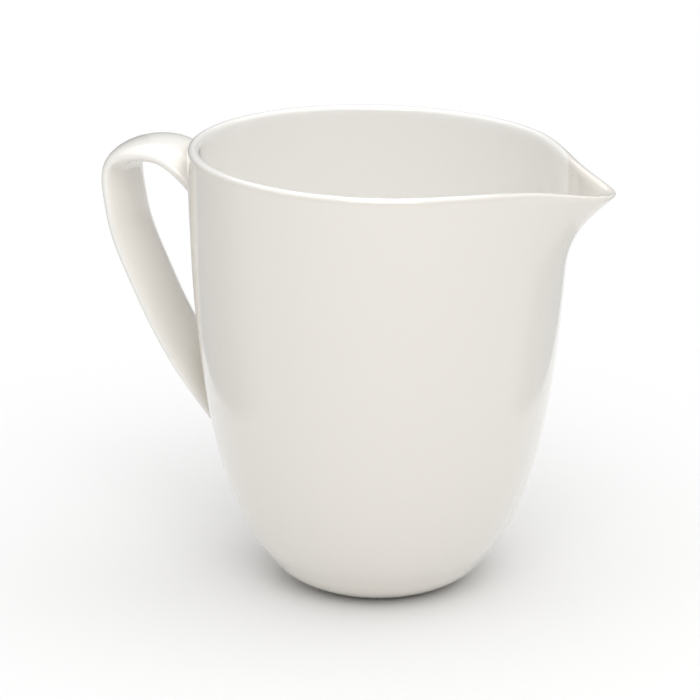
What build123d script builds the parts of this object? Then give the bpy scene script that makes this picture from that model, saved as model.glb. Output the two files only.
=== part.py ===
from build123d import *
from math import acos, cos, exp, hypot, radians, sin, sqrt
import os

os.makedirs("parts", exist_ok=True)

# A one-litre ceramic pitcher, as the potter puts it together: a cast bowl with its
# spout and foot ring, a strap handle, and the clay slip that lutes the strap on.
# The bowl's axis is Z, the spout points along +X, the handle stands on the -X side
# and the foot rests on Z = 0.

# Bowl, in mm
rim_diameter = 118.0       # across the outside of the rim
height = 140.0             # from the table to the rim, on the axis
rim_fall = 0.024           # how far the rim falls toward the spout, per mm
wall = 3.6                 # cast wall at the rim and in the spout
lip_round = 1.0            # round of the rim's inner and outer edge
curve_lift = 0.8           # how far above the table the outer curve would close
floor_height = 6.4         # the inside floor, above the table
floor_flat = 0.15          # height of the flat that ends the inside curve
foot_radius = 27.2         # outside of the foot ring
foot_ring_width = 3.6      # the bearing ring under the bowl
foot_recess = 2.0          # depth of the hollow inside the ring
foot_bond = 1.0            # how far the ring runs up into the bowl's wall
foot_round = 0.6           # round of the ring's edges

# Spout, in mm and degrees
spout_reach = 15.65        # how far the tip stands out past the rim's circle
spout_drop = 8.2           # how far the nose's middle lies below the rim on the axis
spout_dip = 5.2            # how far the rim line dips at the nose, past its fall
spout_fade = 6.8           # how fast the spout dies away down the bowl
spout_spread = 7.66        # half angle of the pinch
spout_nose = 0.85          # roundness of the nose, as a share of that angle
spout_power = 1.065        # 1 is a straight pinch, 2 a soft bulge
spout_sector = 50.0        # half angle of the wall that the spout shapes

# Handle, in mm: a strap of oval section that leaves the wall steeply, arches over
# at the rim's level and slopes back to the bowl. A station is how far the strap's
# middle stands off the wall, and how far it is below the rim.
handle_width = 27.0
handle_thickness = 7.6
handle_stations = [
    (-6.7, 23.7), (0.7, 13.4), (11.2, 6.5), (25.4, 9.5), (26.9, 26.9),
    (19.7, 50.0), (10.0, 72.0), (-2.2, 91.7), (-7.0, 99.7),
]

# Luting slip round each root of the handle, in mm
slip_spread = 3.0          # how far the slip stands round the strap at the wall
slip_edge = 0.6            # its thickness where it ends on the strap
slip_length = 4.5          # how far it climbs along the strap
slip_root = 3.0            # how far inside the wall's face it is cut from

rim_radius = rim_diameter / 2
turned_top = height / 2    # above this level the spout begins to shape the wall


def bowl_radius(level, radius, depth):
    """Radius of the bowl's side, a super-ellipse that stands upright at the rim."""
    share = min(max((height - level) / depth, 0.0), 1.0)
    return radius * (1 - share**2) ** 0.25


def outer_radius(level):
    return bowl_radius(level, rim_radius, height - curve_lift)


def inner_radius(level):
    return bowl_radius(level, rim_radius - wall, height - floor_height)


def pinch(turn):
    """Shape of the spout across the wall: 1 at the nose, 0 far to each side."""
    side = sqrt((turn / spout_spread) ** 2 + spout_nose**2) - spout_nose
    return exp(-side**spout_power)


def spout_swell(level):
    """How far the nose stands out at a level; it dies away down the bowl."""
    return 2 * spout_reach / (1 + exp((height - spout_drop - level) / spout_fade))


def wall_point(turn, level, inset):
    """A point of the wall in one direction, set in square from its outer face."""
    def outline(angle):
        reach = outer_radius(level) + spout_swell(level) * pinch(angle)
        return reach * cos(radians(angle)), reach * sin(radians(angle))

    x, y = outline(turn)
    ahead, behind = outline(turn + 0.2), outline(turn - 0.2)
    dx, dy = ahead[0] - behind[0], ahead[1] - behind[1]
    run = hypot(dx, dy)
    return x - inset * dy / run, y + inset * dx / run, level


def ring_turns(close=10, plain=14):
    """Directions of a level line's points from the handle side round: evenly spaced
    on the plain wall, close together through the spout."""
    step = 2 * (180 - spout_sector) / plain
    right = [spout_sector + step * i for i in range(1, plain // 2)]
    nose = [spout_sector * (i / close) ** 1.5 for i in range(close + 1)]
    half = nose + right
    return [180] + [-turn for turn in reversed(half[1:])] + half


def level_ring(level, inset):
    """A closed level line of the wall, set in from the outer face."""
    points = [wall_point(turn, level, inset) for turn in ring_turns()]
    return Wire([Spline(*points, periodic=True)])


def ring_levels(depth, low, top, turned=9, shaped=11):
    """Levels from the foot to past the rim, closest where the wall curves most."""
    first = sqrt(acos((height - low) / depth))
    last = sqrt(acos((height - turned_top) / depth))
    turns = [(first + (last - first) * i / turned) ** 2 for i in range(turned)]
    shares = [1 - (1 - i / shaped) ** 1.5 for i in range(shaped + 1)]
    lower = [height - depth * cos(turn) for turn in turns]
    return lower + [turned_top + (top - turned_top) * share for share in shares]


def make_outside():
    """The whole outside of the bowl and spout as a solid that runs past the rim."""
    levels = ring_levels(height - curve_lift, foot_recess, height + 5)
    return Solid.make_loft([level_ring(level, 0) for level in levels])


def make_cavity():
    """The space inside the bowl and spout, from the inside floor to past the rim."""
    levels = ring_levels(height - floor_height, floor_height + floor_flat, height + 6)
    insets = [outer_radius(level) - inner_radius(level) for level in levels]
    return Solid.make_loft([level_ring(*pair) for pair in zip(levels, insets)])


def rim_line(x):
    """Level of the rim above a point of the plane through spout and handle."""
    tip = rim_radius + spout_reach
    start = rim_radius * 0.62
    share = max((x - start) / (tip - start), 0.0)
    return height - rim_fall * x - spout_dip * share**1.7


def make_rim_block():
    """Everything below the rim line, as one slab across the bowl."""
    reach = rim_radius + spout_reach + 6
    shares = [-0.5, 0.4, 0.7, 0.85, 1.0]
    xs = [-reach] + [rim_radius * s for s in shares] + [rim_radius + spout_reach, reach]
    crest = [(x, rim_diameter, rim_line(x)) for x in xs]
    low = [(reach, rim_diameter, -5), (-reach, rim_diameter, -5)]
    face = make_face([Spline(*crest), Polyline(crest[-1], *low, crest[0])])
    return extrude(face, amount=2 * rim_diameter, dir=(0, -1, 0))


def make_foot_ring():
    """The bearing ring, which runs up into the bowl where their radii are the same."""
    share = (foot_radius / rim_radius) ** 4
    top = height - (height - curve_lift) * sqrt(1 - share) + foot_bond
    from_table = (Align.CENTER, Align.CENTER, Align.MIN)
    hollow = Cylinder(foot_radius - foot_ring_width, foot_recess, align=from_table)
    return Cylinder(foot_radius, top, align=from_table) - hollow


def make_body(outside):
    """The cast bowl: outside less cavity, cut at the rim, standing on its foot ring."""
    shell = (outside & make_rim_block()) - make_cavity()
    rims = [e for e in shell.edges() if e.bounding_box().min.Z > height - 1.5 * spout_drop]
    shell = fillet(rims, lip_round)
    joined = shell + make_foot_ring()
    foot = [e for e in joined.edges() if e.bounding_box().max.Z < 0.01]
    return fillet(foot, foot_round)


def handle_path():
    """Middle line of the strap, from inside the wall below the rim to the lower root."""
    points = []
    for stand_off, drop in handle_stations:
        level = height - drop
        points.append((-outer_radius(level) - stand_off, 0, level))
    return Spline(*points)


def strap_ring(path, share, extra=0.0):
    """Section of the strap at a share of its length, grown all round by extra."""
    plane = Plane(path @ share, x_dir=(0, 1, 0), z_dir=path % share)
    oval = Ellipse(handle_width / 2 + extra, handle_thickness / 2 + extra)
    return (plane * oval).face().outer_wire()


def make_strap(path, count=24):
    return Solid.make_loft([strap_ring(path, i / count) for i in range(count + 1)])


def root_share(path, from_share, to_share):
    """Share of the strap's length where its middle line crosses the wall's face."""
    for _ in range(30):
        middle = (from_share + to_share) / 2
        point = path @ middle
        if -point.X > outer_radius(point.Z):
            to_share = middle
        else:
            from_share = middle
    return from_share


def make_slip(path, strap, outside, end_share):
    """A collar of slip round one root, thick at the wall and thin on the strap."""
    root = root_share(path, end_share, 0.5)
    inward = 1 if end_share > root else -1
    rings = []
    for i in range(6):
        along = i / 5
        share = root + inward * (slip_root - along * (slip_root + slip_length)) / path.length
        extra = slip_edge + (slip_spread - slip_edge) * (1 - along) ** 1.6
        rings.append(strap_ring(path, share, extra))
    return Solid.make_loft(rings) - strap - outside


outside = make_outside()
path = handle_path()
strap = make_strap(path)
parts = {
    "body": make_body(outside),
    "handle": strap - outside,
    "upper_slip_joint": make_slip(path, strap, outside, 0.0),
    "lower_slip_joint": make_slip(path, strap, outside, 1.0),
}
for name, shape in parts.items():
    solid = max(shape.solids(), key=lambda s: s.volume)
    box = solid.bounding_box()
    print(name, len(shape.solids()), round(solid.volume), solid.is_valid, box.min, box.max)
    export_step(solid, f"parts/{name}.step")
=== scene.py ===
# %% [markdown]
# # A ceramic pitcher, lathed, pinched and glazed
# A pitcher like this is cast in one mould, and its strap handle is cast apart and stuck
# on with liquid clay. We follow the same order here: lathe the bowl, pull its spout, run
# the strap, lay the slip round its two roots, and then glaze everything. First the CAD
# frame is loaded, because every piece takes its size and place from it.

# %% Load the frame
from math import acos, atan2, cos, degrees, exp, hypot, pi, radians, sin, sqrt

import bpy
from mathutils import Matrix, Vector


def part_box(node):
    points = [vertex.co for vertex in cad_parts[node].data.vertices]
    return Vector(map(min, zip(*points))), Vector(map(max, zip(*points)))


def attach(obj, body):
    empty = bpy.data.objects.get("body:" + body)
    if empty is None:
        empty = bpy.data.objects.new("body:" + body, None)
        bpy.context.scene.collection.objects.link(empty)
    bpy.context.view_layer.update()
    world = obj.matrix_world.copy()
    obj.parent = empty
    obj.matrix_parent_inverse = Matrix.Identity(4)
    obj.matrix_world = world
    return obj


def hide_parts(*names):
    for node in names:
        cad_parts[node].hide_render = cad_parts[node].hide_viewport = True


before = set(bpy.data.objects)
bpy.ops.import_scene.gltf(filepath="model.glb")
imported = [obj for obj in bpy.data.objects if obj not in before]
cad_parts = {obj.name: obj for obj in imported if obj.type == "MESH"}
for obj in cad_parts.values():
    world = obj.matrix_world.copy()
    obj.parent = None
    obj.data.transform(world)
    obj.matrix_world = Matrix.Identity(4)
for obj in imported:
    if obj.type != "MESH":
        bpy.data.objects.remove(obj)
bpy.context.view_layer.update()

# %% [markdown]
# ## Sizes
# The bowl's sizes come from the box of its CAD solid. What a box can't tell, such as the
# wall or the way the spout dies away, is named here with the same values as the CAD
# source, in metres and degrees.

# %% Sizes of the pitcher
body_low, body_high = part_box("body")
rim_radius = (body_high[1] - body_low[1]) / 2
rim_fall = 0.024
rim_height = body_high[2] - rim_fall * rim_radius
wall = 0.0037
floor_height = 0.0064
curve_lift = 0.0008
side_power = 2.2
foot_radius = 0.0224
foot_ring_width = 0.0022
foot_recess = 0.0020

spout_reach = 0.0162
spout_drop = 0.0097
spout_dip = 0.0061
spout_fade = 0.0068
spout_spread = 7.66
spout_nose = 0.85
spout_power = 1.065

print("rim radius", round(rim_radius, 4), "rim height", round(rim_height, 4))

# %% [markdown]
# ## The bowl's curve
# The side is a super-ellipse: upright at the rim and round at the foot, like a cup that
# was turned with one template. One function gives the radius at any level from the
# face's own radius and depth. The inner face closes higher up, so the wall grows thicker
# towards the foot, as cast walls do.

# %% The bowl's curve
def curve_radius(level, radius, depth):
    share = min(max((rim_height - level) / depth, 0.0), 1.0)
    return radius * (1 - share**side_power) ** 0.25


def outer_radius(level):
    return curve_radius(level, rim_radius, rim_height - curve_lift)


def curve_points(radius, depth, low, count):
    """Points of one face of the side, from low up to just under the lip."""
    half = rim_height / 2
    first = sqrt(acos(min((rim_height - low) / depth, 1.0)))
    last = sqrt(acos((rim_height - half) / depth))
    turns = [(first + (last - first) * i / count) ** 2 for i in range(count)]
    levels = [rim_height - depth * cos(turn) for turn in turns]
    top = rim_height - wall / 2
    shares = [1 - (1 - i / count) ** 1.6 for i in range(count + 1)]
    levels += [half + (top - half) * share for share in shares]
    return [(curve_radius(level, radius, depth), level) for level in levels]


bowl_depth = rim_height - curve_lift
print("outer radius 10 mm above the table", round(outer_radius(0.010), 4))

# %% [markdown]
# ## Helpers for working by hand in code
# An operator acts on whatever is selected, so every step starts from nothing selected.
# `push` does what weight paint and a Displace modifier do by hand: each vertex gets a
# weight for how far it should travel along an axis, and the modifier moves them all at
# once.

# %% Helpers
def start_fresh():
    if bpy.context.object and bpy.context.object.mode != "OBJECT":
        bpy.ops.object.mode_set(mode="OBJECT")
    bpy.ops.object.select_all(action="DESELECT")


def finish_mesh(piece, subdivisions=2):
    """Point the faces out, subdivide and smooth."""
    bpy.ops.object.mode_set(mode="EDIT")
    bpy.ops.mesh.select_all(action="SELECT")
    bpy.ops.mesh.normals_make_consistent(inside=False)
    bpy.ops.object.mode_set(mode="OBJECT")
    smooth = piece.modifiers.new("smooth", "SUBSURF")
    smooth.levels = smooth.render_levels = subdivisions
    bpy.ops.object.modifier_apply(modifier="smooth")
    bpy.ops.object.shade_smooth()
    print(piece.name, len(piece.data.polygons), "faces")


def push(piece, axis, amounts):
    """Move each vertex along X, Y or Z by its own amount, with painted weights."""
    for sign in (1, -1):
        peak = max(sign * amount for amount in amounts)
        if peak <= 1e-7:
            continue
        group = piece.vertex_groups.new(name="push")
        for index, amount in enumerate(amounts):
            if sign * amount > 1e-8:
                group.add([index], sign * amount / peak, "REPLACE")
        mover = piece.modifiers.new("push", "DISPLACE")
        mover.direction = axis
        mover.mid_level = 0.0
        mover.strength = sign * peak
        mover.vertex_group = "push"
        bpy.ops.object.modifier_apply(modifier="push")
        piece.vertex_groups.clear()


def push_to(piece, targets):
    """Bring every vertex to its target, one axis after another."""
    for number, axis in enumerate("XYZ"):
        here = [vertex.co[number] for vertex in piece.data.vertices]
        push(piece, axis, [target[number] - place for target, place in zip(targets, here)])


# %% [markdown]
# ## Lathing the bowl
# A bowl is a profile turned round an axis. We draw half of its section with one vertex
# that is extruded from point to point: up the inside, over the round lip, down the
# outside, round a short turn to the foot, and under it to the middle. Then Spin turns
# it. The spout needs more columns than the plain wall, so the profile is spun twice: in
# fine steps across the spout and in wider ones round the rest.

# %% Section of the bowl
foot_turn = [
    (0.0341, 0.0072), (0.0320, 0.0050), (0.0295, 0.0032), (0.0269, 0.0018),
    (0.0248, 0.0008), (0.0235, 0.00025),
]
turn_start = 0.0100


def bowl_section():
    inner = curve_points(rim_radius - wall, rim_height - floor_height, floor_height, 9)
    outer = curve_points(rim_radius, bowl_depth, turn_start, 8)
    inner[0] = (0.0, floor_height)
    middle, lip = rim_radius - wall / 2, wall / 2
    steps = [pi - pi * i / 6 for i in range(1, 6)]
    crown = [(middle + lip * cos(t), rim_height - lip + lip * sin(t)) for t in steps]
    ring_inside = foot_radius - foot_ring_width
    under = foot_turn + [
        (foot_radius, 0.0),
        (ring_inside + 0.0009, 0.0), (ring_inside + 0.0003, 0.0003),
        (ring_inside, 0.0010), (ring_inside - 0.0004, foot_recess - 0.0003),
        (ring_inside - 0.0014, foot_recess), (ring_inside / 2, foot_recess + 0.0002),
        (0.0, foot_recess + 0.0003),
    ]
    return inner + crown + outer[::-1] + under


section = bowl_section()
print("section points", len(section))

# %% Draw and spin the section
start_fresh()
bpy.ops.mesh.primitive_plane_add(size=0.01, location=(0, 0, 0))
bowl = bpy.context.object
bowl.name = "bowl"
spout_half, fine_steps, wide_steps = radians(32), 34, 56

bpy.ops.object.mode_set(mode="EDIT")
bpy.ops.mesh.select_all(action="SELECT")
bpy.ops.mesh.merge(type="CENTER")
at = Vector((0, 0, 0))
for number, (radius, level) in enumerate(section):
    place = Vector((radius * cos(-spout_half), radius * sin(-spout_half), level))
    if number == 0:
        bpy.ops.transform.translate(value=place - at)
    else:
        bpy.ops.mesh.extrude_vertices_move(TRANSFORM_OT_translate={"value": place - at})
    at = place
bpy.ops.mesh.select_all(action="SELECT")
bpy.ops.mesh.spin(steps=fine_steps, angle=2 * spout_half, center=(0, 0, 0), axis=(0, 0, 1))
bpy.ops.mesh.spin(steps=wide_steps, angle=2 * pi - 2 * spout_half, center=(0, 0, 0),
                  axis=(0, 0, 1))
bpy.ops.mesh.select_all(action="SELECT")
bpy.ops.mesh.remove_doubles(threshold=0.00002)
bpy.ops.object.mode_set(mode="OBJECT")
print("bowl", len(bowl.data.vertices), "vertices",
      [round(v, 4) for v in bowl.dimensions])

# %% [markdown]
# ## Pulling the spout
# A spout like this is pinched out of the soft rim: the nose is drawn forward, the wall
# beside it follows, and the pull dies away down the bowl. Proportional editing could do
# it, but its falloff is round, and this pinch is nearly straight sided with a small round
# nose. So the place of each vertex is worked out from how the wall is pulled, and `push`
# takes it there. Each inner vertex keeps its depth in the wall, so the wall stays even.
# The rim line falls gently towards the spout and dips at the nose.

# %% Pull the spout and cut the rim line
def pinch(turn):
    side = sqrt((turn / spout_spread) ** 2 + spout_nose**2) - spout_nose
    return exp(-side**spout_power)


def pulled(turn, level, inset):
    """Place of a point of the wall after the pull, in square from the outer face."""
    swell = 2 * spout_reach / (1 + exp((rim_height - spout_drop - level) / spout_fade))

    def outline(angle):
        reach = outer_radius(level) + swell * pinch(angle)
        return Vector((reach * cos(radians(angle)), reach * sin(radians(angle)), level))

    run = (outline(turn + 0.2) - outline(turn - 0.2)).normalized()
    return outline(turn) - inset * Vector((run.y, -run.x, 0))


dip_start, dip_power = 0.62, 1.7


def rim_level(x):
    share = (x - rim_radius * dip_start) / (rim_radius * (1 - dip_start) + spout_reach)
    return rim_height - rim_fall * x - spout_dip * max(share, 0.0) ** dip_power


def shaped(place):
    """Where a point of the plain bowl goes when the spout is pulled."""
    turn = degrees(atan2(place.y, place.x))
    fade = min(max(place.z / rim_height * 1.5 - 0.5, 0.0), 1.0)
    if fade == 0:
        return place.copy()
    nose_level = rim_height - spout_drop * pinch(turn)
    fall = rim_level(pulled(turn, nose_level, wall / 2).x) - rim_height
    level = place.z + fall * fade**2 * (3 - 2 * fade)
    inset = outer_radius(place.z) - hypot(place.x, place.y)
    return pulled(turn, level, inset)


push_to(bowl, [shaped(vertex.co) for vertex in bowl.data.vertices])
finish_mesh(bowl)
print("bowl box", [round(v, 4) for v in bowl.dimensions])

# %% [markdown]
# ## The strap handle
# The strap is an oval ribbon of clay that leaves the wall just below the rim, arches over
# at the rim's level and slopes back to the bowl. A curve with a bevel would do, but its
# ends couldn't meet the wall cleanly. Here one oval ring is extruded station by station
# along the middle line and turned to face along it, as a hand would pull a strap.

# %% Middle line of the strap
strap_width, strap_thickness = 0.0270, 0.0076
strap_stations = [
    (-0.0067, 0.0237), (0.0007, 0.0134), (0.0112, 0.0065), (0.0270, 0.0098),
    (0.0273, 0.0262), (0.0197, 0.0500), (0.0100, 0.0720), (-0.0022, 0.0917),
    (-0.0070, 0.0997),
]
stations = [Vector((-outer_radius(rim_height - drop) - stand_off, 0, rim_height - drop))
            for stand_off, drop in strap_stations]
gaps = [(b - a).length for a, b in zip(stations, stations[1:])]
reached = [sum(gaps[:i]) for i in range(len(stations))]
strap_length = reached[-1]


def station_slope(i):
    if i in (0, len(stations) - 1):
        j = min(i, len(gaps) - 1)
        return (stations[j + 1] - stations[j]) / gaps[j]
    before = (stations[i] - stations[i - 1]) / gaps[i - 1]
    after = (stations[i + 1] - stations[i]) / gaps[i]
    return (before * gaps[i] + after * gaps[i - 1]) / (gaps[i - 1] + gaps[i])


def on_strap(distance):
    """Place and direction of the strap's middle line, a smooth curve through the stations."""
    i = max(j for j in range(len(gaps)) if j == 0 or reached[j] <= distance)
    t, gap = (distance - reached[i]) / gaps[i], gaps[i]
    a, b = stations[i], stations[i + 1]
    u, v = station_slope(i) * gap, station_slope(i + 1) * gap
    place = ((2 * t**3 - 3 * t**2 + 1) * a + (t**3 - 2 * t**2 + t) * u
             + (3 * t**2 - 2 * t**3) * b + (t**3 - t**2) * v)
    along = ((6 * t**2 - 6 * t) * a + (3 * t**2 - 4 * t + 1) * u
             + (6 * t - 6 * t**2) * b + (3 * t**2 - 2 * t) * v)
    return place, along.normalized()


def strap_point(distance, turn, extra=0.0):
    """A point of the strap's skin; turn 0 is its outer face and 90 its left edge."""
    place, along = on_strap(distance)
    out = Vector((along.z, 0, -along.x))
    out = -out if out.x > 0 and distance > strap_length * 0.4 else out
    return (place + out * (strap_thickness / 2 + extra) * cos(turn)
            + Vector((0, 1, 0)) * (strap_width / 2 + extra) * sin(turn))


print("strap length", round(strap_length, 4))

# %% [markdown]
# The outer face looks away from the bowl all along the strap. With the middle line in one
# plane, that direction is the travel turned by a right angle, so the ring never twists.

# %% Extrude the strap
def oval_ring(name, count=24):
    start_fresh()
    bpy.ops.mesh.primitive_circle_add(vertices=count, radius=0.01, location=(0, 0, 0))
    ring = bpy.context.object
    ring.name = name
    return ring


def grow_rows(ring, rows):
    """Extrude a ring of vertices into a tube of rows, each row a list of places."""
    bpy.ops.object.mode_set(mode="EDIT")
    bpy.ops.mesh.select_all(action="SELECT")
    for _ in rows[1:]:
        bpy.ops.mesh.extrude_region_move(TRANSFORM_OT_translate={"value": (0, 0, 0.001)})
    bpy.ops.object.mode_set(mode="OBJECT")
    push_to(ring, [place for row in rows for place in row])


columns = 24
turns = [2 * pi * i / columns for i in range(columns)]
handle = oval_ring("handle_strap")
strap_rows = 44
distances = [0.002 + (strap_length - 0.004) * i / (strap_rows - 1) for i in range(strap_rows)]
grow_rows(handle, [[strap_point(distance, turn) for turn in turns] for distance in distances])
bpy.ops.object.mode_set(mode="EDIT")
bpy.ops.mesh.select_all(action="DESELECT")
bpy.ops.mesh.select_non_manifold()
bpy.ops.mesh.edge_face_add()
finish_mesh(handle, 1)
print("handle box", [round(v, 4) for v in handle.dimensions])

# %% [markdown]
# ## The slip round the roots
# Liquid clay is wiped round each root, so the strap runs into the wall in a soft hollow
# curve with no corner. Each fillet is a small tube of its own: its rows start on the
# strap, meet at the corner, run out on the wall and close under the surface. Subdivision
# rounds the corner row into the hollow. Where each column of the strap meets the wall
# is found by halving steps along the strap.

# %% Slip fillets
slip_up, slip_out = 0.0062, 0.0058


def wall_place(place, depth=0.0):
    """The same place, brought on to the bowl's outer face or under it."""
    reach = hypot(place.x, place.y)
    scale = (outer_radius(place.z) - depth) / reach
    return Vector((place.x * scale, place.y * scale, place.z))


def meeting(turn, inside, outside):
    for _ in range(24):
        middle = (inside + outside) / 2
        place = strap_point(middle, turn)
        if hypot(place.x, place.y) > outer_radius(place.z):
            outside = middle
        else:
            inside = middle
    return inside


def slip_rows(end, way):
    rows = [[] for _ in range(8)]
    for turn in turns:
        met = meeting(turn, end, end + way * strap_length * 0.3)
        corner = strap_point(met, turn)
        outward = corner - on_strap(met)[0]
        face = Vector((corner.x, corner.y, 0)).normalized()
        outward = (outward - face * outward.dot(face)).normalized()
        on_wall = [wall_place(corner + outward * slip_out * share, depth)
                   for share, depth in ((0.45, -0.00004), (1.0, -0.00003), (1.25, 0.0004))]
        column = [
            strap_point(met - way * 0.0015, turn, -0.0012),
            strap_point(met + way * slip_up * 1.25, turn, -0.0004),
            strap_point(met + way * slip_up, turn, 0.00003),
            strap_point(met + way * slip_up * 0.45, turn, 0.00004),
            corner, *on_wall,
        ]
        for row, place in zip(rows, column):
            row.append(place)
    return rows


def slip_fillet(name, end, way):
    piece = oval_ring(name, columns)
    rows = slip_rows(end, way)
    grow_rows(piece, rows)
    bpy.ops.object.mode_set(mode="EDIT")
    bpy.ops.mesh.select_all(action="DESELECT")
    bpy.ops.mesh.select_non_manifold()
    bpy.ops.mesh.bridge_edge_loops()
    finish_mesh(piece, 2)
    return piece


upper_slip = slip_fillet("upper_slip", 0.002, 1)
lower_slip = slip_fillet("lower_slip", strap_length - 0.002, -1)
root_depth = 0.0020


def end_in_wall(piece):
    """Press the hidden end of a piece flat inside the wall, so none shows in the bowl."""
    start_fresh()
    piece.select_set(True)
    bpy.context.view_layer.objects.active = piece
    places = [vertex.co.copy() for vertex in piece.data.vertices]
    push_to(piece, [
        wall_place(place, root_depth)
        if hypot(place.x, place.y) < outer_radius(place.z) - root_depth else place
        for place in places])


for piece in (handle, upper_slip, lower_slip):
    end_in_wall(piece)
for piece in (bowl, handle, upper_slip, lower_slip):
    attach(piece, "root")
    print(piece.name, [round(v, 4) for v in piece.dimensions])
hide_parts("body")
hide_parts("handle")
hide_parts("upper_slip_joint")
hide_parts("lower_slip_joint")

# %% [markdown]
# ## The glaze
# Ivory glaze is clear and very smooth, over a warm white body. What makes it look real is
# small: the colour drifts a little, the surface has a faint ripple from the firing, and the
# foot ring is wiped bare so that it doesn't stick to the kiln shelf. Shade is painted in as
# well: the glaze turns darker and warmer near the foot and at the strap's lower root. One
# node group gives every piece the drifting colour, this painted shade and the ripple.

# %% Glaze drift and painted shade group
drift_and_shade_group = bpy.data.node_groups.new("glaze_drift_and_painted_shade", "ShaderNodeTree")
for socket_name, way, kind in (
        ("Glaze", "INPUT", "Color"), ("Drift and Shade", "INPUT", "Color"), ("Painted Shade", "INPUT", "Float"),
        ("Color", "OUTPUT", "Color"), ("Roughness", "OUTPUT", "Float"),
        ("Height", "OUTPUT", "Float")):
    drift_and_shade_group.interface.new_socket(socket_name, in_out=way, socket_type="NodeSocket" + kind)
nodes, links = drift_and_shade_group.nodes, drift_and_shade_group.links
given, made = nodes.new("NodeGroupInput"), nodes.new("NodeGroupOutput")
where = nodes.new("ShaderNodeTexCoord")


def noise(scale, detail):
    node = nodes.new("ShaderNodeTexNoise")
    node.inputs["Scale"].default_value = scale
    node.inputs["Detail"].default_value = detail
    links.new(where.outputs["Object"], node.inputs["Vector"])
    return node.outputs["Fac"]


def mapped(value, low, high):
    node = nodes.new("ShaderNodeMapRange")
    node.inputs["To Min"].default_value = low
    node.inputs["To Max"].default_value = high
    links.new(value, node.inputs["Value"])
    return node.outputs["Result"]


cloud, ripple, fine = noise(22, 2), noise(160, 1), noise(1400, 2)
# Painted shade: the random cloud and the painted shade near the foot together set how much of
# the darker, warmer second colour is mixed in.
drift_and_shade_share = nodes.new("ShaderNodeMath")
drift_and_shade_share.operation = "ADD"
drift_and_shade_share.use_clamp = True
links.new(mapped(cloud, -0.06, 0.16), drift_and_shade_share.inputs[0])
links.new(given.outputs["Painted Shade"], drift_and_shade_share.inputs[1])
blend = nodes.new("ShaderNodeMix")
blend.data_type = "RGBA"
links.new(drift_and_shade_share.outputs[0], blend.inputs["Factor"])
links.new(given.outputs["Glaze"], blend.inputs["A"])
links.new(given.outputs["Drift and Shade"], blend.inputs["B"])
links.new(blend.outputs["Result"], made.inputs["Color"])
links.new(mapped(fine, 0.10, 0.17), made.inputs["Roughness"])
links.new(ripple, made.inputs["Height"])
print("group", drift_and_shade_group.name, len(nodes), "nodes")

# %% [markdown]
# The material itself holds the shader. Gloss comes from the specular layer with a clear
# coat over it. Light is painted into the glaze: it is paler inside the bowl, and on the
# strap away from the wall. How far a point lies out from the bowl's curve tells which it
# is: the curve's own formula gives 1 on the outer face, less inside and more outside. Where
# the painted shade darkens the glaze is found from the height above the table. The bare
# foot is the lowest third of a millimetre, where the coat stops and the clay is rough.

# %% Glaze materials
coat_weight, coat_roughness, glaze_ior = 0.9, 0.05, 1.52
ripple_strength, ripple_depth = 0.05, 0.0004
bare_top, bare_full = 0.0003, 0.0001
bare_clay, bare_roughness = (0.72, 0.67, 0.59, 1), 0.75
most_painted_shade = 0.6


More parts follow.
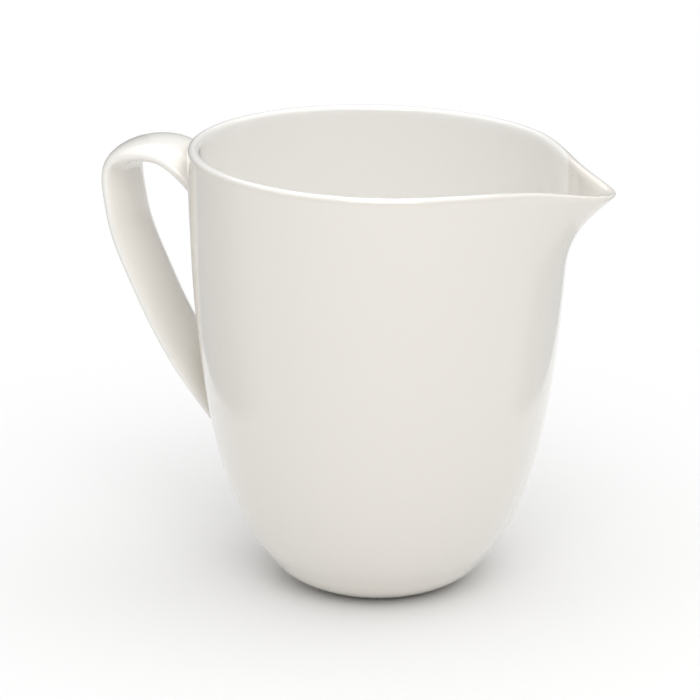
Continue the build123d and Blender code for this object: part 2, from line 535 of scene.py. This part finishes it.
def glaze(name, inner, outer, inner_edge, outer_edge, painted_shade_low, painted_shade_high, bare_foot=False):
    material = bpy.data.materials.new(name)
    material.use_nodes = True
    tree = material.node_tree
    shader = tree.nodes["Principled BSDF"]
    shader.inputs["IOR"].default_value = glaze_ior
    shader.inputs["Coat Roughness"].default_value = coat_roughness
    group = tree.nodes.new("ShaderNodeGroup")
    group.node_tree = drift_and_shade_group
    group.inputs["Drift and Shade"].default_value = (*drift_and_shade_ivory, 1)
    spot = tree.nodes.new("ShaderNodeTexCoord")
    axes = tree.nodes.new("ShaderNodeSeparateXYZ")
    tree.links.new(spot.outputs["Object"], axes.inputs[0])
    # Painted shade: by height above the table, the glaze turns darker and warmer from the upper
    # level down to the lower one.
    painted_shade_fade = tree.nodes.new("ShaderNodeMapRange")
    painted_shade_fade.interpolation_type = "SMOOTHSTEP"
    painted_shade_range = ("From Min", painted_shade_high), ("From Max", painted_shade_low), ("To Max", most_painted_shade)
    for socket, value in painted_shade_range:
        painted_shade_fade.inputs[socket].default_value = value
    tree.links.new(axes.outputs["Z"], painted_shade_fade.inputs["Value"])
    tree.links.new(painted_shade_fade.outputs["Result"], group.inputs["Painted Shade"])
    bump = tree.nodes.new("ShaderNodeBump")
    bump.inputs["Strength"].default_value = ripple_strength
    bump.inputs["Distance"].default_value = ripple_depth
    tree.links.new(group.outputs["Height"], bump.inputs["Height"])
    tree.links.new(bump.outputs["Normal"], shader.inputs["Normal"])
    colour_out, rough_out = group.outputs["Color"], group.outputs["Roughness"]
    shader.inputs["Coat Weight"].default_value = coat_weight
    def worked_out(kind, first, second):
        node = tree.nodes.new("ShaderNodeMath")
        node.operation = kind
        for socket, value in zip(node.inputs, (first, second)):
            if isinstance(value, float):
                socket.default_value = value
            else:
                tree.links.new(value, socket)
        return node.outputs[0]

    across = worked_out("ADD", worked_out("POWER", axes.outputs["X"], 2.0),
                        worked_out("POWER", axes.outputs["Y"], 2.0))
    across = worked_out("POWER", worked_out("DIVIDE", across, rim_radius**2), 2.0)
    down = worked_out("SUBTRACT", rim_height, axes.outputs["Z"])
    down = worked_out("DIVIDE", down, bowl_depth)
    down = worked_out("POWER", worked_out("MAXIMUM", down, 0.0), side_power)
    # Painted light: the paler colour is mixed in by how far out from the bowl's curve a point
    # lies.
    outward = tree.nodes.new("ShaderNodeMapRange")
    outward.interpolation_type = "SMOOTHSTEP"
    for socket, value in (("From Min", inner_edge), ("From Max", outer_edge)):
        outward.inputs[socket].default_value = value
    tree.links.new(worked_out("ADD", across, down), outward.inputs["Value"])
    face = tree.nodes.new("ShaderNodeMix")
    face.data_type = "RGBA"
    face.inputs["A"].default_value = (*inner, 1)
    face.inputs["B"].default_value = (*outer, 1)
    tree.links.new(outward.outputs["Result"], face.inputs["Factor"])
    tree.links.new(face.outputs["Result"], group.inputs["Glaze"])
    if bare_foot:
        bare = tree.nodes.new("ShaderNodeMapRange")
        for socket, value in (("From Min", bare_top), ("From Max", bare_full)):
            bare.inputs[socket].default_value = value
        tree.links.new(axes.outputs["Z"], bare.inputs["Value"])
        clay = tree.nodes.new("ShaderNodeMix")
        clay.data_type = "RGBA"
        clay.inputs["B"].default_value = bare_clay
        tree.links.new(bare.outputs["Result"], clay.inputs["Factor"])
        tree.links.new(colour_out, clay.inputs["A"])
        rough = tree.nodes.new("ShaderNodeMix")
        rough.inputs["B"].default_value = bare_roughness
        tree.links.new(bare.outputs["Result"], rough.inputs["Factor"])
        tree.links.new(rough_out, rough.inputs["A"])
        colour_out, rough_out = clay.outputs["Result"], rough.outputs["Result"]
        coat = tree.nodes.new("ShaderNodeMapRange")
        for socket, value in (("To Min", coat_weight), ("To Max", 0.0)):
            coat.inputs[socket].default_value = value
        tree.links.new(bare.outputs["Result"], coat.inputs["Value"])
        tree.links.new(coat.outputs["Result"], shader.inputs["Coat Weight"])
    tree.links.new(colour_out, shader.inputs["Base Color"])
    tree.links.new(rough_out, shader.inputs["Roughness"])
    return material


# The second colour is darker and warmer. Both the random drift and the painted shade near the
# foot lead to it.
ivory, drift_and_shade_ivory = (0.81, 0.779, 0.722), (0.79, 0.755, 0.69)
# Painted light: paler copies of the ivory for the inside of the bowl and for the strap away
# from the wall.
painted_light_inside_ivory, painted_light_strap_ivory = (0.95, 0.936, 0.905), (0.95, 0.926, 0.88)
bowl.data.materials.append(
    glaze("ivory_bowl_glaze", painted_light_inside_ivory, ivory, 0.93, 0.985, 0.001, 0.016, True))
handle.data.materials.append(
    glaze("ivory_strap_glaze", ivory, painted_light_strap_ivory, 1.0, 1.6, 0.044, 0.054))
slip_glaze = glaze("ivory_slip_glaze", ivory, painted_light_strap_ivory, 1.0, 1.6, 0.040, 0.046)
upper_slip.data.materials.append(slip_glaze)
lower_slip.data.materials.append(slip_glaze)
print("materials", [m.name for m in bpy.data.materials])

# %% [markdown]
# ## Table, light and camera
# White glazed ware shows what stands round it. A pale table fills the lower half of every
# reflection and keeps the shadow; farther from the pitcher it turns plain white to the
# camera. One broad soft lamp overhead gives the rim and the strap their highlights, a
# smaller one in front fills the wall, and two dark cards beside the pitcher draw the
# soft dark bands that give a white wall its edges. The cards are only seen in
# reflections.

# %% Table
paper_white_from, paper_white_to = 0.07, 0.27
paper_grey = 0.90
start_fresh()
bpy.ops.mesh.primitive_plane_add(size=12, location=(0, 0, 0))
table = bpy.context.object
table.name = "table"
paper = bpy.data.materials.new("white_paper")
paper.use_nodes = True
paper_nodes, paper_links = paper.node_tree.nodes, paper.node_tree.links
paper_shader = paper_nodes["Principled BSDF"]
paper_shader.inputs["Base Color"].default_value = (paper_grey, paper_grey, paper_grey, 1)
paper_shader.inputs["Roughness"].default_value = 0.9
paper_shader.inputs["Specular IOR Level"].default_value = 0.0
paper_spot = paper_nodes.new("ShaderNodeTexCoord")
paper_far = paper_nodes.new("ShaderNodeVectorMath")
paper_far.operation = "LENGTH"
paper_fade = paper_nodes.new("ShaderNodeMapRange")
paper_fade.interpolation_type = "SMOOTHSTEP"
paper_fade.inputs["From Min"].default_value = paper_white_from
paper_fade.inputs["From Max"].default_value = paper_white_to
paper_seen = paper_nodes.new("ShaderNodeLightPath")
paper_share = paper_nodes.new("ShaderNodeMath")
paper_share.operation = "MULTIPLY"
paper_white = paper_nodes.new("ShaderNodeEmission")
paper_mix = paper_nodes.new("ShaderNodeMixShader")
paper_links.new(paper_spot.outputs["Object"], paper_far.inputs[0])
paper_links.new(paper_far.outputs["Value"], paper_fade.inputs["Value"])
paper_links.new(paper_fade.outputs["Result"], paper_share.inputs[0])
paper_links.new(paper_seen.outputs["Is Camera Ray"], paper_share.inputs[1])
paper_links.new(paper_share.outputs[0], paper_mix.inputs["Fac"])
paper_links.new(paper_shader.outputs[0], paper_mix.inputs[1])
paper_links.new(paper_white.outputs[0], paper_mix.inputs[2])
paper_links.new(paper_mix.outputs[0], paper_nodes["Material Output"].inputs["Surface"])
table.data.materials.append(paper)

# %% Camera
view_turn, view_rise, view_distance = radians(20.99), radians(17.97), 0.9
lens_length, sensor_width = 147.3, 36
aim_height, aim_left = 0.07483, 0.00882
view_right = Vector((cos(view_turn), sin(view_turn), 0))
view_back = Vector((sin(view_turn) * cos(view_rise), -cos(view_turn) * cos(view_rise),
                    sin(view_rise)))
aim = Vector((0, 0, aim_height)) - aim_left * view_right
camera_data = bpy.data.cameras.new("camera")
camera_data.lens = lens_length
camera_data.sensor_width = sensor_width
camera = bpy.data.objects.new("camera", camera_data)
bpy.context.collection.objects.link(camera)
camera.location = aim + view_back * view_distance
camera.rotation_euler = (-view_back).to_track_quat("-Z", "Y").to_euler()
bpy.context.scene.camera = camera

# %% Cards, lamps and room
view_away = Vector((-sin(view_turn), cos(view_turn), 0))
card_offset, card_far, card_height, card_foot_fade = 0.15, 0.70, 0.5, 0.02
felt_colour = (0.05, 0.05, 0.045, 1)


def dark_card(name, side, near, darkness, soft):
    """A soft-edged dark card on edge beside the pitcher, seen only in reflections."""
    start_fresh()
    bpy.ops.mesh.primitive_plane_add(size=1, location=(0, 0, 0))
    card = bpy.context.object
    card.name = name
    ends = [view_right * side * card_offset + view_away * near,
            view_right * side * card_offset + view_away * card_far]
    up = Vector((0, 0, card_height))
    push_to(card, [ends[0], ends[1], ends[0] + up, ends[1] + up])
    felt = bpy.data.materials.new(name + "_felt")
    felt.use_nodes = True
    felt_nodes, felt_links = felt.node_tree.nodes, felt.node_tree.links
    cloth = felt_nodes["Principled BSDF"]
    cloth.inputs["Base Color"].default_value = felt_colour
    cloth.inputs["Specular IOR Level"].default_value = 0.0
    spread = felt_nodes.new("ShaderNodeUVMap")
    split = felt_nodes.new("ShaderNodeSeparateXYZ")
    felt_links.new(spread.outputs[0], split.inputs[0])
    cover = felt_nodes.new("ShaderNodeMath")
    cover.operation = "MULTIPLY"
    fades = ("X", soft, darkness), ("Y", card_foot_fade, 1.0)
    for number, (axis, reach, most) in enumerate(fades):
        edge = felt_nodes.new("ShaderNodeMapRange")
        edge.interpolation_type = "SMOOTHSTEP"
        edge.inputs["From Max"].default_value = reach
        edge.inputs["To Max"].default_value = most
        felt_links.new(split.outputs[axis], edge.inputs["Value"])
        felt_links.new(edge.outputs["Result"], cover.inputs[number])
    clear = felt_nodes.new("ShaderNodeBsdfTransparent")
    mixed = felt_nodes.new("ShaderNodeMixShader")
    felt_links.new(cover.outputs[0], mixed.inputs["Fac"])
    felt_links.new(clear.outputs[0], mixed.inputs[1])
    felt_links.new(cloth.outputs[0], mixed.inputs[2])
    felt_links.new(mixed.outputs[0], felt_nodes["Material Output"].inputs["Surface"])
    card.data.materials.append(felt)
    card.visible_camera = card.visible_diffuse = card.visible_shadow = False


def soft_lamp(name, place, look, size, watts):
    lamp_data = bpy.data.lights.new(name, "AREA")
    lamp_data.shape = "RECTANGLE"
    lamp_data.size = lamp_data.size_y = size
    lamp_data.energy = watts
    lamp = bpy.data.objects.new(name, lamp_data)
    bpy.context.collection.objects.link(lamp)
    lamp.location = place
    lamp.rotation_euler = (Vector(look) - Vector(place)).to_track_quat("-Z", "Y").to_euler()


dark_card("left_card", -1, -0.07, darkness=0.40, soft=0.10)
dark_card("right_card", 1, -0.03, darkness=0.32, soft=0.06)
soft_lamp("overhead", (0.1, 0.0, 1.2), look=(0, 0, 0), size=2.4, watts=18)
front = view_right * 0.05 - view_away * 1.0 + Vector((0, 0, 1.0))
soft_lamp("front", tuple(front), look=(0, 0, 0.07), size=0.9, watts=4.6)

room_light, backdrop_light = 0.43, 1.0
room = bpy.data.worlds.new("room")
bpy.context.scene.world = room
room.use_nodes = True
room_nodes, room_links = room.node_tree.nodes, room.node_tree.links
air = room_nodes["Background"]
air.inputs["Color"].default_value = (1, 1, 1, 1)
path = room_nodes.new("ShaderNodeLightPath")
level = room_nodes.new("ShaderNodeMapRange")
level.inputs["To Min"].default_value = room_light
level.inputs["To Max"].default_value = backdrop_light
room_links.new(path.outputs["Is Camera Ray"], level.inputs["Value"])
room_links.new(level.outputs["Result"], air.inputs["Strength"])
bpy.context.scene.view_settings.view_transform = "Standard"
